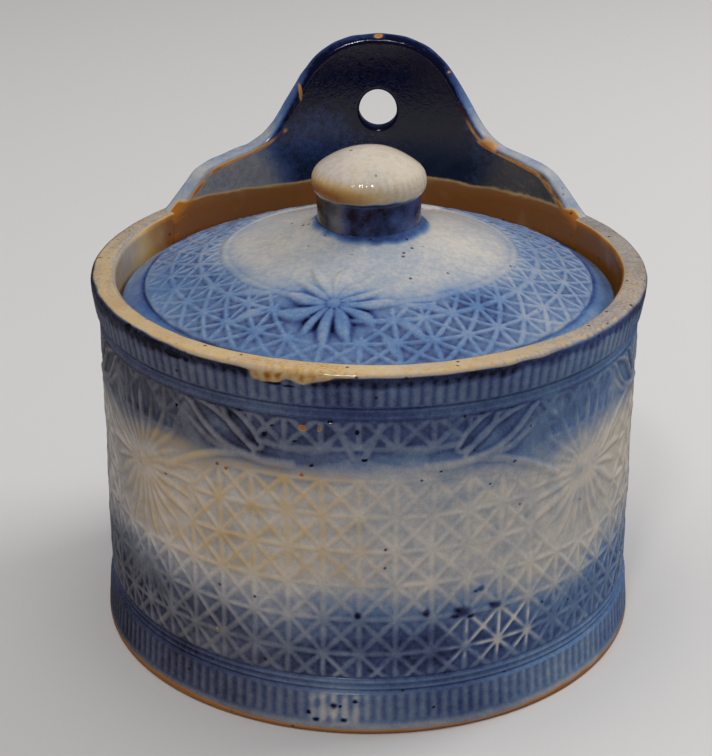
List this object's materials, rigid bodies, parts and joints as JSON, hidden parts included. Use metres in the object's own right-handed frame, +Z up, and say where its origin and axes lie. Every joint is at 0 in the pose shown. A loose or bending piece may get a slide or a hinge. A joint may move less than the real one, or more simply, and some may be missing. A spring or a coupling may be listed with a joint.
{
  "type": "salt crock",
  "caption": "Round glazed stoneware salt crock with reeded bands and lattice relief, a curved plate with a nail hole behind its mouth, and a domed lid with a knob that drops inside the rim.",
  "frame": {"origin": "middle of the foot, on the surface that the crock stands on", "axes": "+Z up, +Y to the back where the hanging plate stands, +X to the right seen from the front"},
  "size_m": [0.152, 0.152, 0.1486],
  "materials": {
    "blue_glaze": "cobalt blue glaze sprayed in bands over grey-white stoneware, worn thin on the raised ribs",
    "navy_glaze": "thick dark cobalt glaze with rust-brown worn edges",
    "pale_blue_glaze": "grey-white glaze at the middle running into cobalt blue at the edge",
    "cream_glaze": "cream glaze on the cap, cobalt pooled round the neck",
    "tan_glaze": "thin tan-brown glaze of the inside"
  },
  "bodies": {
    "crock": {"crock_wall": "blue_glaze", "crock_floor": "tan_glaze", "lid_ledge": "tan_glaze", "hanger_plate": "navy_glaze"},
    "lid": {"lid_dome": "pale_blue_glaze", "lid_knob": "cream_glaze"}
  },
  "joints": [
    {"name": "lid_lift", "type": "slide", "parent": "crock", "child": "lid", "axis": [0, 0, 1], "range_m": [0, 0.08]}
  ]
}
